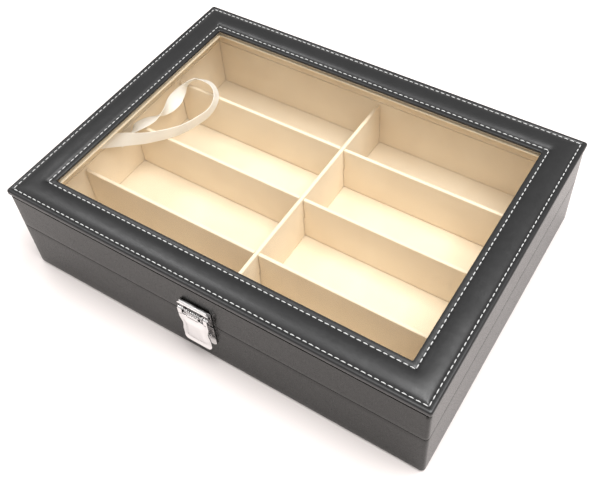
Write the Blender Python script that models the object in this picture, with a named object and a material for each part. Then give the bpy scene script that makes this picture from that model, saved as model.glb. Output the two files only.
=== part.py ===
"""A display case for glasses: a leather-covered box with a hinged, windowed lid, a velvet tray with
egg-crate dividers, a ribbon lid stay and a sprung flap latch.

Lengths are in metres and +Z is up. The latch is on the -Y side and the hinges are on the +Y side. The origin
is on the surface that the case stands on, in the middle of its footprint, with latch and hinges counted.
"""

import math

import bmesh
import bpy
from mathutils import Matrix, Vector

MM = 0.001
GAP = 0.3 * MM  # between two pieces that touch

# The case as a whole. The lid's top plate is its widest part.
WIDTH = 335 * MM
DEPTH = 245 * MM
HEIGHT = 84 * MM
PLATE_OVERHANG = 0.7 * MM
PLATE_THICKNESS = 4.8 * MM
RIM_Z = 46 * MM  # top of the base; the lid starts one gap higher
HALF_X = WIDTH / 2 - PLATE_OVERHANG  # outer faces of the walls
HALF_Y = DEPTH / 2 - PLATE_OVERHANG

# The layers of a wall, from the outside in, as insets from its outer face.
LEATHER = 0.7 * MM
BOARD = 3.5 * MM
LINING = 1 * MM
BOARD_OUTER = LEATHER + GAP
BOARD_INNER = BOARD_OUTER + BOARD
LINING_OUTER = BOARD_INNER + GAP
LINING_INNER = LINING_OUTER + LINING
WALL_CORNER = 1.4 * MM
SMALLEST_CORNER = 0.3 * MM
CORNER_STEPS = 3

# The base, from the table up.
FELT = 1 * MM
FELT_INSET = 2 * MM
BOTTOM_TURN_IN = 14 * MM
BOARD_Z = FELT + LEATHER + 2 * GAP
FLOOR_BOARD = 2.6 * MM
FLOOR_LINING = 0.8 * MM
FLOOR_Z = BOARD_Z + FLOOR_BOARD + GAP + FLOOR_LINING
LINING_TOP_Z = 51.5 * MM  # the base lining stands above the rim and locates the lid

# The dividers.
DIVIDER = 3 * MM
DIVIDER_Z = 48.7 * MM
ROWS = 4

# The lid, from the seam up.
LID_Z = RIM_Z + GAP
PLATE_Z = HEIGHT - PLATE_THICKNESS
WINDOW_BOARD = 2.2 * MM
WINDOW_INSET = 24.5 * MM  # from the walls' outer faces to the window opening
STITCH_INSET = 3.2 * MM  # to the outer row of stitches
INNER_STITCH_INSET = 20.4 * MM
STITCH_DIP = 0.8 * MM
PADDING_TOP_Z = 82.8 * MM
PANE = 1.5 * MM
PANE_LAP = 6.7 * MM
RETAINER = 1.2 * MM

# The butt hinges.
HINGE_X = 95 * MM
HINGE_WIDTH = 26 * MM
LEAF = 0.8 * MM
LEAF_HEIGHT = 12 * MM
KNUCKLE_RADIUS = 2 * MM
KNUCKLE_BORE = 1.15 * MM
MIDDLE_KNUCKLE = 8.8 * MM
HINGE_PIN_RADIUS = 0.85 * MM
HINGE_NAIL_X = 8.5 * MM
HINGE_NAIL_Z = 7 * MM
HINGE_AXIS_Y = HALF_Y + GAP + KNUCKLE_RADIUS
HINGE_AXIS_Z = RIM_Z + GAP / 2

# Nails.
NAIL_HEAD_RADIUS = 1.5 * MM
NAIL_HEAD = 0.6 * MM
NAIL_RADIUS = 0.55 * MM
NAIL_LENGTH = 4.2 * MM
NAIL_HOLE = NAIL_RADIUS + GAP

# The latch. It sits slightly left of the middle.
LATCH_X = -4 * MM
LATCH_HALF_WIDTH = 13 * MM
LATCH_SHEET = 0.8 * MM
LID_PLATE_Z = (46.7 * MM, 62 * MM)
STRIKE_PLATE_Z = (22.8 * MM, 45.4 * MM)
CURL_RADIUS = 1.5 * MM
EAR_X = 7.7 * MM
EAR_RADIUS = 2.3 * MM
LATCH_NAIL_X = 9 * MM
LID_NAIL_Z = 49.8 * MM
STRIKE_NAIL_Z = 34 * MM
LATCH_AXIS_REACH = 3.2 * MM  # the pin's axis, out from the wall's face
LATCH_AXIS_Z = 55 * MM
LATCH_AXIS_Y = -HALF_Y - LATCH_AXIS_REACH
LATCH_PIN_RADIUS = 0.7 * MM
LATCH_BORE = 1 * MM
LATCH_KNUCKLE_RADIUS = 1.7 * MM
FLAP_Z = (21 * MM, 51.8 * MM)
FLAP_HALF_WIDTH = 11.6 * MM
FLAP_BULGE = 0.8 * MM
FLAP_LIP = 0.9 * MM
HOOK_Z = 38 * MM
HOOK_REACH = 3.1 * MM
CATCH_Z = 40.5 * MM
SPRING_RADIUS = 1.35 * MM
SPRING_WIRE = 0.35 * MM
SPRING_HALF_LENGTH = 5.5 * MM
SPRING_TURNS = 6

# The ribbon: middle of the band and how far it is rolled from flat, in degrees, from base to lid.
RIBBON_WIDTH = 12 * MM
RIBBON_THICKNESS = 0.4 * MM
RIBBON_ROUTE_MM = (
    (-160.3, -22, 44.5, 88),
    (-158.6, -14, 46.8, 66),
    (-154.4, -5, 51.8, 6),
    (-150.5, 8, 51.5, 0),
    (-147.2, 20, 51.5, 0),
    (-147.2, 34, 52, 0),
    (-148, 47, 53.5, 20),
    (-148, 55, 55.5, 55),
    (-144.5, 61.5, 56.3, 80),
    (-134.7, 63.5, 56.3, 85),
    (-123.5, 59, 56.3, 85),
    (-115.4, 50, 55.8, 78),
    (-112, 38.9, 54.3, 55),
    (-113.3, 27.6, 52.5, 25),
    (-120.9, 8.9, 51.3, 5),
    (-135.7, -11.1, 53.5, 5),
    (-147, -23.6, 56.5, 25),
    (-156.5, -33.5, 60, 60),
    (-160.3, -42, 63.5, 88),
)
RIBBON_SUBDIVISIONS = 5


# ---------------------------------------------------------------- tools


def look(name, colour, roughness, metallic=0.0, alpha=1.0):
    material = bpy.data.materials.new(name)
    material.use_nodes = True
    shader = material.node_tree.nodes["Principled BSDF"]
    shader.inputs["Base Color"].default_value = (*colour, 1)
    shader.inputs["Roughness"].default_value = roughness
    shader.inputs["Metallic"].default_value = metallic
    shader.inputs["Alpha"].default_value = alpha
    material.diffuse_color = (*colour, alpha)
    return material


def object_from(name, bm):
    """A scene object from a bmesh, which is used up."""
    bmesh.ops.recalc_face_normals(bm, faces=bm.faces)
    mesh = bpy.data.meshes.new(name)
    bm.to_mesh(mesh)
    bm.free()
    obj = bpy.data.objects.new(name, mesh)
    bpy.context.scene.collection.objects.link(obj)
    return obj


def block(name, low, high):
    """A box between two corners."""
    bm = bmesh.new()
    bmesh.ops.create_cube(bm, size=1)
    low, high = Vector(low), Vector(high)
    for vertex in bm.verts:
        vertex.co = (low + high) / 2 + vertex.co * (high - low)
    return object_from(name, bm)


def prism(name, outline, axis, low, high):
    """A closed outline extruded along an axis. Its two numbers are the other axes, in X, Y, Z order."""
    bm = bmesh.new()
    rings = []
    for level in (low, high):
        corners = []
        for point in outline:
            place = list(point)
            place.insert(axis, level)
            corners.append(bm.verts.new(place))
        rings.append(corners)
        bm.faces.new(corners)
    for i in range(len(outline)):
        j = (i + 1) % len(outline)
        bm.faces.new((rings[0][i], rings[0][j], rings[1][j], rings[1][i]))
    return object_from(name, bm)


def rounded_loop(half_x, half_y, radius):
    """Points round a rectangle with rounded corners, counterclockwise."""
    points = []
    for quarter, (sign_x, sign_y) in enumerate(((1, 1), (-1, 1), (-1, -1), (1, -1))):
        for step in range(CORNER_STEPS + 1):
            angle = (quarter + step / CORNER_STEPS) * math.pi / 2
            x = sign_x * (half_x - radius) + radius * math.cos(angle)
            y = sign_y * (half_y - radius) + radius * math.sin(angle)
            points.append((x, y))
    return points


def frame_ring(name, section, corner=WALL_CORNER):
    """A closed section swept round the case. Its points are (inset from the walls' outer faces, height)."""
    bm = bmesh.new()
    loops = []
    for inset, z in section:
        radius = max(corner - inset, SMALLEST_CORNER)
        points = rounded_loop(HALF_X - inset, HALF_Y - inset, radius)
        loops.append([bm.verts.new((x, y, z)) for x, y in points])
    count = len(loops[0])
    for a, b in zip(loops, loops[1:] + loops[:1]):
        for i in range(count):
            j = (i + 1) % count
            bm.faces.new((a[i], a[j], b[j], b[i]))
    return object_from(name, bm)


def turned(name, profile, axis, centre, steps=16):
    """A profile of (radius, distance along the axis) turned about that axis through centre."""
    bm = bmesh.new()
    direction = Vector((0, 0, 0))
    direction[axis] = 1
    out = Vector((0, 0, 0))
    out[(axis + 1) % 3] = 1
    centre = Vector(centre)
    verts = [bm.verts.new(centre + out * r + direction * h) for r, h in profile]
    edges = [bm.edges.new(pair) for pair in zip(verts, verts[1:])]
    hollow = all(r > 0 for r, _ in profile)
    if hollow:
        edges.append(bm.edges.new((verts[-1], verts[0])))
    bmesh.ops.spin(
        bm, geom=verts + edges, angle=2 * math.pi, steps=steps, axis=direction, cent=centre, use_merge=True
    )
    bmesh.ops.remove_doubles(bm, verts=bm.verts, dist=1e-7)
    obj = object_from(name, bm)
    obj.data.shade_smooth()
    obj.data.set_sharp_from_angle(angle=math.radians(40))
    return obj


def tube(name, radius, bore, axis, centre, low, high):
    profile = [(bore, low), (radius, low), (radius, high), (bore, high)]
    return turned(name, profile, axis, centre)


def rod(name, radius, axis, centre, low, high, steps=16):
    profile = [(0, low), (radius, low), (radius, high), (0, high)]
    return turned(name, profile, axis, centre, steps)


def combine(target, operand, operation):
    """Unites target with operand, or cuts operand from it, and removes operand."""
    modifier = target.modifiers.new(operation.lower(), "BOOLEAN")
    modifier.operation = operation
    modifier.object = operand
    graph = bpy.context.evaluated_depsgraph_get()
    mesh = bpy.data.meshes.new_from_object(target.evaluated_get(graph))
    target.modifiers.clear()
    target.data = mesh
    bpy.data.objects.remove(operand)
    return target


def unite(target, *operands):
    for operand in operands:
        combine(target, operand, "UNION")
    return target


def cut(target, *operands):
    for operand in operands:
        combine(target, operand, "DIFFERENCE")
    return target


def finish(obj, material, body):
    """Gives a piece its material, and hangs it on its body with its origin on the body's axis."""
    obj.data.materials.clear()
    obj.data.materials.append(material)
    obj.data.transform(Matrix.Translation(-body.location))
    obj.parent = body
    return obj


def pivot(name, location):
    empty = bpy.data.objects.new(name, None)
    empty.location = location
    bpy.context.scene.collection.objects.link(empty)
    return empty


# ---------------------------------------------------------------- the layered walls


def four_walls(prefix, suffix, outer, inner, low, high):
    """Front and back pieces of full width, with left and right pieces between them."""
    x_outer, x_inner = HALF_X - outer, HALF_X - inner
    y_outer, y_inner = HALF_Y - outer, HALF_Y - inner
    y_between = y_inner - GAP
    sides = {
        "front": ((-x_outer, -y_outer, low), (x_outer, -y_inner, high)),
        "back": ((-x_outer, y_inner, low), (x_outer, y_outer, high)),
        "left": ((-x_outer, -y_between, low), (-x_inner, y_between, high)),
        "right": ((x_inner, -y_between, low), (x_outer, y_between, high)),
    }
    return {side: block(f"{prefix}_{side}_{suffix}", *corners) for side, corners in sides.items()}


def sheet(name, inset, low, high):
    half = Vector((HALF_X - inset, HALF_Y - inset))
    return block(name, (-half.x, -half.y, low), (half.x, half.y, high))


def base_leather():
    """Leather round the walls, over the rim, and turned in under the bottom."""
    low = FELT + GAP
    section = (
        (0, low),
        (0, RIM_Z),
        (BOARD_INNER, RIM_Z),
        (BOARD_INNER, RIM_Z - LEATHER),
        (LEATHER, RIM_Z - LEATHER),
        (LEATHER, low + LEATHER),
        (BOTTOM_TURN_IN, low + LEATHER),
        (BOTTOM_TURN_IN, low),
    )
    return frame_ring("base_leather_wrap", section)


def lid_leather():
    """Leather round the lid's walls, turned in over their lower edge."""
    high = PLATE_Z - GAP
    section = (
        (0, LID_Z),
        (0, high),
        (LEATHER, high),
        (LEATHER, LID_Z + LEATHER),
        (BOARD_INNER, LID_Z + LEATHER),
        (BOARD_INNER, LID_Z),
    )
    return frame_ring("lid_leather_wrap", section)


def frame_leather():
    """The leather ring round the window: low along both rows of stitches, padded between them."""
    stitch_z = HEIGHT - STITCH_DIP
    middle = (STITCH_INSET + INNER_STITCH_INSET) / 2
    half = middle - STITCH_INSET
    top = []
    for step in range(7):
        share = 2 * step / 6 - 1
        puff = STITCH_DIP * (1 - share**4)
        top.append((middle + half * share, stitch_z + puff))
    outer = -PLATE_OVERHANG
    edge_drop = 0.9 * MM
    outside = [(outer, PLATE_Z), (outer, stitch_z - edge_drop), (outer + edge_drop, stitch_z)] + top
    outside += [
        (WINDOW_INSET - edge_drop, stitch_z),
        (WINDOW_INSET, stitch_z - edge_drop),
        (WINDOW_INSET, PLATE_Z),
    ]
    inside = [
        (WINDOW_INSET - LEATHER, PLATE_Z),
        (WINDOW_INSET - LEATHER, stitch_z - edge_drop - LEATHER / 2),
        (WINDOW_INSET - edge_drop - LEATHER, stitch_z - LEATHER),
    ]
    inside += [(inset, z - LEATHER) for inset, z in reversed(top)]
    inside += [(0.9 * MM, stitch_z - LEATHER), (0, stitch_z - edge_drop - LEATHER / 2), (0, PLATE_Z)]
    return frame_ring("lid_frame_leather", outside + inside, WALL_CORNER)


def window_board():
    high = PLATE_Z + WINDOW_BOARD
    inner = WINDOW_INSET - LEATHER - GAP
    section = ((GAP, PLATE_Z), (GAP, high), (inner, high), (inner, PLATE_Z))
    return frame_ring("lid_window_board", section)


def frame_padding():
    low = PLATE_Z + WINDOW_BOARD + GAP
    start, end, slope = 4.5 * MM, 19.1 * MM, 3.2 * MM
    section = ((start, low), (start + slope, PADDING_TOP_Z), (end - slope, PADDING_TOP_Z), (end, low))
    return frame_ring("lid_frame_padding", section)


def window_pane():
    high = PLATE_Z - GAP
    return sheet("window_pane", WINDOW_INSET - PANE_LAP, high - PANE, high)


def window_retainer():
    high = PLATE_Z - 2 * GAP - PANE
    inner = WINDOW_INSET - 0.5 * MM
    section = (
        (LINING_OUTER, high - RETAINER),
        (LINING_OUTER, high),
        (inner, high),
        (inner, high - RETAINER),
    )
    return frame_ring("window_retainer", section)


# ---------------------------------------------------------------- the egg-crate dividers


def row_lines():
    """The Y places of the cross dividers, front to back."""
    room = 2 * (HALF_Y - LINING_INNER)
    pitch = (room - (ROWS - 1) * DIVIDER) / ROWS + DIVIDER
    return [pitch * (i - (ROWS - 2) / 2) for i in range(ROWS - 1)]


def half_depth():
    return (FLOOR_Z + GAP + DIVIDER_Z) / 2


def cross_divider(name, y):
    """A strip from left to right, with a slot from its top edge where the centre strip crosses it."""
    low = FLOOR_Z + GAP
    reach = HALF_X - LINING_INNER - GAP
    slot = DIVIDER / 2 + GAP
    slot_z = half_depth() - GAP / 2
    outline = (
        (-reach, low),
        (reach, low),
        (reach, DIVIDER_Z),
        (slot, DIVIDER_Z),
        (slot, slot_z),
        (-slot, slot_z),
        (-slot, DIVIDER_Z),
        (-reach, DIVIDER_Z),
    )
    return prism(name, outline, 1, y - DIVIDER / 2, y + DIVIDER / 2)


def centre_divider():
    """The strip from front to back, with slots from its bottom edge."""
    low = FLOOR_Z + GAP
    reach = HALF_Y - LINING_INNER - GAP
    slot = DIVIDER / 2 + GAP
    slot_z = half_depth() + GAP / 2
    outline = [(-reach, DIVIDER_Z), (-reach, low)]
    for y in row_lines():
        outline += [(y - slot, low), (y - slot, slot_z), (y + slot, slot_z), (y + slot, low)]
    outline += [(reach, low), (reach, DIVIDER_Z)]
    return prism("centre_divider", outline, 0, -DIVIDER / 2, DIVIDER / 2)


# ---------------------------------------------------------------- hinges and nails


def nail(name, x, y, z, outward):
    """A nail driven into the wall at x, z. Its head's underside is at y, and outward is the sign of Y."""
    dome = NAIL_HEAD * 0.45
    profile = [
        (0, -NAIL_LENGTH),
        (NAIL_RADIUS, -NAIL_LENGTH + NAIL_RADIUS),
        (NAIL_RADIUS, 0),
        (NAIL_HEAD_RADIUS, 0),
        (NAIL_HEAD_RADIUS * 0.9, dome),
        (0, NAIL_HEAD),
    ]
    profile = [(r, outward * h) for r, h in profile]
    return turned(name, profile, 1, (x, y, z), 12)


def nail_hole(x, y, z, outward):
    """A cutter for a nail's hole: it starts outside everything, and ends just past the nail's point."""
    ends = sorted((y + outward * 3 * MM, y - outward * (NAIL_LENGTH + GAP)))
    return rod("nail_hole", NAIL_HOLE, 1, (x, 0, z), *ends, steps=12)


def hinge_leaf(name, x, side):
    """One leaf, below the axis with two knuckles (side -1) or above it with the middle one (side 1)."""
    half = HINGE_WIDTH / 2
    face = HALF_Y + GAP
    clear = KNUCKLE_RADIUS + GAP
    middle = MIDDLE_KNUCKLE / 2

    def across(name, x_low, x_high, near, far):
        z = sorted((HINGE_AXIS_Z + side * near, HINGE_AXIS_Z + side * far))
        return block(name, (x + x_low, face, z[0]), (x + x_high, face + LEAF, z[1]))

    leaf = across(name, -half, half, clear, LEAF_HEIGHT)
    spans = [(-middle, middle)] if side > 0 else [(-half, -middle - GAP), (middle + GAP, half)]
    for low, high in spans:
        tab = across("tab", low, high, 0, clear + GAP)
        centre = (x, HINGE_AXIS_Y, HINGE_AXIS_Z)
        unite(leaf, tab, tube("knuckle", KNUCKLE_RADIUS, KNUCKLE_BORE, 0, centre, low, high))
    return leaf


def hinge_pin(name, x):
    """A pin with a riveted head past each end of the knuckles."""
    reach = HINGE_WIDTH / 2 + GAP
    head = 0.7 * MM
    head_radius = 1.6 * MM
    profile = [(0, -reach - head), (head_radius * 0.7, -reach - head * 0.8), (head_radius, -reach)]
    profile += [(HINGE_PIN_RADIUS, -reach)]
    profile += [(r, -h) for r, h in reversed(profile)]
    return turned(name, profile, 0, (x, HINGE_AXIS_Y, HINGE_AXIS_Z))


def hinge_nail_places(side):
    """(hinge name, nail name, x, z) of the nails of the leaves below (-1) or above (1) the axis."""
    for hinge, hinge_x in (("left_hinge", -HINGE_X), ("right_hinge", HINGE_X)):
        for which, nail_x in (("left_nail", -HINGE_NAIL_X), ("right_nail", HINGE_NAIL_X)):
            yield hinge, which, hinge_x + nail_x, HINGE_AXIS_Z + side * HINGE_NAIL_Z


def latch_nail_places(z):
    for which, x in (("left_nail", -LATCH_NAIL_X), ("right_nail", LATCH_NAIL_X)):
        yield which, LATCH_X + x, z


# ---------------------------------------------------------------- the latch


def out(reach):
    """The Y place at a distance out from the front wall's face."""
    return -HALF_Y - reach


def plate_corner_cut(sign, z, z_sign):
    """A cutter for the chamfer on one corner of a latch plate."""
    size = 2.2 * MM
    margin = 1 * MM
    x = LATCH_X + sign * LATCH_HALF_WIDTH
    outline = (
        (x - sign * size, z + z_sign * margin),
        (x - sign * size, z),
        (x, z - z_sign * size),
        (x + sign * margin, z - z_sign * size),
        (x + sign * margin, z + z_sign * margin),
    )
    return prism("corner_cut", outline, 1, out(8 * MM), out(-1 * MM))


def latch_ear(sign):
    """One ear of the upper plate: it stands forward from the plate, and its end is round about the pin."""
    low, high = sorted((sign * EAR_X, sign * (EAR_X + LATCH_SHEET)))
    root = LATCH_SHEET
    outline = [(out(root), LATCH_AXIS_Z + EAR_RADIUS), (out(root), LATCH_AXIS_Z - EAR_RADIUS)]
    steps = 10
    for step in range(steps + 1):
        angle = math.pi * (step / steps - 1 / 2)
        reach = LATCH_AXIS_REACH + EAR_RADIUS * math.cos(angle)
        outline.append((out(reach), LATCH_AXIS_Z + EAR_RADIUS * math.sin(angle)))
    return prism("ear", outline, 0, LATCH_X + low, LATCH_X + high)


def latch_lid_plate():
    """The upper plate: its top edge curls forward, and two ears carry the pin."""
    bottom, top = LID_PLATE_Z
    bend = Vector((GAP + CURL_RADIUS, top - CURL_RADIUS))
    inner_radius = CURL_RADIUS - LATCH_SHEET
    tip_z = bend.y - 0.7 * MM
    outline = [(GAP, bottom)]
    for step in range(9):
        angle = math.pi * (1 - step / 8)
        outline.append((bend.x + CURL_RADIUS * math.cos(angle), bend.y + CURL_RADIUS * math.sin(angle)))
    outline += [(bend.x + CURL_RADIUS, tip_z), (bend.x + inner_radius, tip_z)]
    for step in range(9):
        angle = math.pi * step / 8
        outline.append((bend.x + inner_radius * math.cos(angle), bend.y + inner_radius * math.sin(angle)))
    outline.append((GAP + LATCH_SHEET, bottom))
    outline = [(out(reach), z) for reach, z in outline]
    plate = prism(
        "latch_lid_plate", outline, 0, LATCH_X - LATCH_HALF_WIDTH, LATCH_X + LATCH_HALF_WIDTH
    )
    unite(plate, *(latch_ear(sign) for sign in (-1, 1)))
    cut(plate, *(plate_corner_cut(sign, top, 1) for sign in (-1, 1)))
    centre = (LATCH_X, LATCH_AXIS_Y, LATCH_AXIS_Z)
    return cut(plate, rod("ear_bore", LATCH_BORE, 0, centre, -LATCH_HALF_WIDTH, LATCH_HALF_WIDTH))


def latch_strike_plate():
    """The lower plate, with the lip above the flap's hook."""
    bottom, top = STRIKE_PLATE_Z
    plate = block(
        "latch_strike_plate",
        (LATCH_X - LATCH_HALF_WIDTH, out(GAP + LATCH_SHEET), bottom),
        (LATCH_X + LATCH_HALF_WIDTH, out(GAP), top),
    )
    cut(plate, *(plate_corner_cut(sign, bottom, -1) for sign in (-1, 1)))
    lip_half = 5 * MM
    lip = block(
        "lip",
        (LATCH_X - lip_half, out(HOOK_REACH - GAP), CATCH_Z),
        (LATCH_X + lip_half, out(GAP + LATCH_SHEET / 2), CATCH_Z + LATCH_SHEET),
    )
    return unite(plate, lip)


def latch_pin():
    reach = 12.6 * MM
    centre = (LATCH_X, LATCH_AXIS_Y, LATCH_AXIS_Z)
    return rod("latch_pin", LATCH_PIN_RADIUS, 0, centre, -reach, reach)


def latch_spring():
    """A coil round the pin, with one leg on the lid plate and one on the flap."""
    points = [(-SPRING_HALF_LENGTH, 1.6 * MM, 50.8 * MM)]
    per_turn = 12
    last_turn = 5 / 8  # the coil ends low at the front
    steps = round((SPRING_TURNS + last_turn) * per_turn)
    for step in range(steps + 1):
        angle = math.pi - 2 * math.pi * step / per_turn
        x = SPRING_HALF_LENGTH * (2 * step / steps - 1)
        reach = LATCH_AXIS_REACH + SPRING_RADIUS * math.cos(angle)
        points.append((x, reach, LATCH_AXIS_Z + SPRING_RADIUS * math.sin(angle)))
    points += [(SPRING_HALF_LENGTH, 3.2 * MM, 52.6 * MM), (SPRING_HALF_LENGTH, 3.5 * MM, 48.5 * MM)]
    curve = bpy.data.curves.new("latch_spring", "CURVE")
    curve.dimensions = "3D"
    curve.bevel_depth = SPRING_WIRE
    curve.bevel_resolution = 2
    curve.use_fill_caps = True
    spline = curve.splines.new("POLY")
    spline.points.add(len(points) - 1)
    for point, (x, reach, z) in zip(spline.points, points):
        point.co = (LATCH_X + x, out(reach), z, 1)
    obj = bpy.data.objects.new("latch_spring", curve)
    bpy.context.scene.collection.objects.link(obj)
    return obj


def eased(value, start, end):
    share = min(max((value - start) / (end - start), 0), 1)
    return share * share * (3 - 2 * share)


def flap_half_width(z):
    """The shield's outline: wide at the knuckles, a waist, and a round-cornered lower end."""
    corner = 4 * MM
    waist = 0.8 * MM
    rise = z - FLAP_Z[0]
    width = FLAP_HALF_WIDTH
    if rise < corner:
        width -= corner - math.sqrt(corner**2 - (corner - rise) ** 2)
    width -= waist * eased(z, 32 * MM, 37 * MM)
    return width + (waist + 0.6 * MM) * eased(z, 37 * MM, 50 * MM)


def flap_reach(share, z):
    """How far the shield's outer face stands out from the wall: domed, with a lip at its lower end."""
    dome = FLAP_BULGE * (1 - share**2) * eased(z, 22 * MM, 28 * MM) * (1 - eased(z, 44 * MM, 51 * MM))
    lip = FLAP_LIP * (1 - eased(z, FLAP_Z[0], 26 * MM))
    return LATCH_AXIS_REACH + LATCH_KNUCKLE_RADIUS + dome + lip


def flap_shell():
    """The domed shield as a closed shell of even thickness."""
    bm = bmesh.new()
    corner_rows, rows, columns = 5, 13, 8
    low, high = FLAP_Z
    corner = 3.9 * MM
    heights = [low + corner * (1 - math.cos(math.pi / 2 * i / corner_rows)) for i in range(1, corner_rows)]
    heights = [low + 0.05 * MM] + heights
    heights += [low + corner + (high - low - corner) * i / (rows - 1) for i in range(rows)]
    grids = []
    for thickness in (0, LATCH_SHEET):
        grid = []
        for z in heights:
            row = []
            for column in range(columns + 1):
                share = 2 * column / columns - 1
                x = LATCH_X + share * flap_half_width(z)
                row.append(bm.verts.new((x, out(flap_reach(share, z) - thickness), z)))
            grid.append(row)
        grids.append(grid)
    for grid in grids:
        for a, b in zip(grid, grid[1:]):
            for i in range(columns):
                bm.faces.new((a[i], a[i + 1], b[i + 1], b[i]))
    front, back = grids
    border = [(0, i) for i in range(columns)]
    border += [(j, columns) for j in range(len(heights) - 1)]
    border += [(len(heights) - 1, i) for i in range(columns, 0, -1)]
    border += [(j, 0) for j in range(len(heights) - 1, 0, -1)]
    for (j, i), (n, m) in zip(border, border[1:] + border[:1]):
        bm.faces.new((front[j][i], front[n][m], back[n][m], back[j][i]))
    return object_from("latch_flap", bm)


def latch_flap():
    """The shield with its two knuckles, the raised middle between the ears, and the hook behind it."""
    flap = flap_shell()
    face = LATCH_AXIS_REACH + LATCH_KNUCKLE_RADIUS
    overlap = 0.6 * MM
    knuckle = (9 * MM, 12.2 * MM)
    for sign in (-1, 1):
        low, high = sorted((sign * knuckle[0], sign * knuckle[1]))
        tab = block(
            "tab",
            (LATCH_X + low, out(face - 0.02 * MM), FLAP_Z[1] - overlap),
            (LATCH_X + high, out(face - LATCH_SHEET), LATCH_AXIS_Z),
        )
        centre = (LATCH_X, LATCH_AXIS_Y, LATCH_AXIS_Z)
        unite(flap, tab, tube("knuckle", LATCH_KNUCKLE_RADIUS, LATCH_BORE, 0, centre, low, high))
    middle = 6.9 * MM
    crest = block(
        "crest",
        (LATCH_X - middle, out(face - 0.02 * MM), FLAP_Z[1] - overlap),
        (LATCH_X + middle, out(face - LATCH_SHEET), FLAP_Z[1] + 0.9 * MM),
    )
    hook_half = 4 * MM
    hook = block(
        "hook",
        (LATCH_X - hook_half, out(face), HOOK_Z),
        (LATCH_X + hook_half, out(HOOK_REACH), HOOK_Z + 1.2 * MM),
    )
    return unite(flap, crest, hook)


# ---------------------------------------------------------------- the ribbon


def catmull_rom(a, b, c, d, t):
    return (
        2 * b + (c - a) * t + (2 * a - 5 * b + 4 * c - d) * t**2 + (3 * b - a - 3 * c + d) * t**3
    ) / 2


def ribbon_stations():
    """(middle, direction across the band, direction out of its face) along the route."""
    knots = [(Vector(row[:3]) * MM, row[3]) for row in RIBBON_ROUTE_MM]
    padded = [knots[0]] + knots + [knots[-1]]
    middles = []
    for i in range(len(knots) - 1):
        a, b, c, d = padded[i : i + 4]
        for step in range(RIBBON_SUBDIVISIONS):
            t = step / RIBBON_SUBDIVISIONS
            place = catmull_rom(a[0], b[0], c[0], d[0], t)
            middles.append((place, b[1] + (c[1] - b[1]) * t))
    middles.append(knots[-1])
    stations = []
    for i, (place, roll) in enumerate(middles):
        ahead = middles[min(i + 1, len(middles) - 1)][0]
        behind = middles[max(i - 1, 0)][0]
        along = (ahead - behind).normalized()
        level = along.cross(Vector((0, 0, 1))).normalized()
        up = level.cross(along)
        angle = math.radians(roll)
        across = level * math.cos(angle) + up * math.sin(angle)
        stations.append((place, across, along.cross(across)))
    return stations


def lid_stay_ribbon():
    """A thin closed strip along the ribbon's route, with the slack looped in the tray."""
    bm = bmesh.new()
    corners = ((-1, -1), (1, -1), (1, 1), (-1, 1))
    loops = []
    for place, across, face in ribbon_stations():
        loop = []
        for u, v in corners:
            offset = across * u * RIBBON_WIDTH / 2 + face * v * RIBBON_THICKNESS / 2
            loop.append(bm.verts.new(place + offset))
        loops.append(loop)
    # The two broad sides are split along the same diagonal, so that a twist can't bring them together.
    for a, b in zip(loops, loops[1:]):
        bm.faces.new((a[0], a[1], b[1]))
        bm.faces.new((a[0], b[1], b[0]))
        for i in (1, 2, 3):
            j = (i + 1) % 4
            bm.faces.new((a[i], a[j], b[i]))
            bm.faces.new((a[j], b[j], b[i]))
    bm.faces.new(loops[0])
    bm.faces.new(loops[-1])
    return object_from("lid_stay_ribbon", bm)


# ---------------------------------------------------------------- assembly


def build_base(body, leather, board, velvet, felt, metal):
    walls = four_walls("base", "board", BOARD_OUTER, BOARD_INNER, BOARD_Z, RIM_Z - LEATHER - GAP)
    wrap = base_leather()
    back_head = HALF_Y + 2 * GAP + LEAF
    front_head = out(2 * GAP + LATCH_SHEET)
    leaves = {
        hinge: hinge_leaf(f"{hinge}_base_leaf", x, -1)
        for hinge, x in (("left_hinge", -HINGE_X), ("right_hinge", HINGE_X))
    }
    for hinge, which, x, z in hinge_nail_places(-1):
        for piece in (walls["back"], wrap, leaves[hinge]):
            cut(piece, nail_hole(x, back_head, z, 1))
        finish(nail(f"{hinge}_base_{which}", x, back_head, z, 1), metal, body)
    strike = latch_strike_plate()
    for which, x, z in latch_nail_places(STRIKE_NAIL_Z):
        for piece in (walls["front"], wrap, strike):
            cut(piece, nail_hole(x, front_head, z, -1))
        finish(nail(f"latch_strike_{which}", x, front_head, z, -1), metal, body)
    for piece in (*leaves.values(), strike):
        finish(piece, metal, body)
    for name, x in (("left_hinge_pin", -HINGE_X), ("right_hinge_pin", HINGE_X)):
        finish(hinge_pin(name, x), metal, body)
    finish(wrap, leather, body)
    finish(sheet("base_bottom_felt", FELT_INSET, 0, FELT), felt, body)
    floor = sheet("base_floor_board", LINING_OUTER, BOARD_Z, BOARD_Z + FLOOR_BOARD)
    for piece in (*walls.values(), floor):
        finish(piece, board, body)
    linings = four_walls("base", "lining", LINING_OUTER, LINING_INNER, FLOOR_Z + GAP, LINING_TOP_Z)
    soft = [*linings.values(), sheet("base_floor_lining", LINING_OUTER, FLOOR_Z - FLOOR_LINING, FLOOR_Z)]
    soft.append(centre_divider())
    for name, y in zip(("front", "middle", "back"), row_lines()):
        soft.append(cross_divider(f"cross_divider_{name}", y))
    for piece in soft:
        finish(piece, velvet, body)


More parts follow.
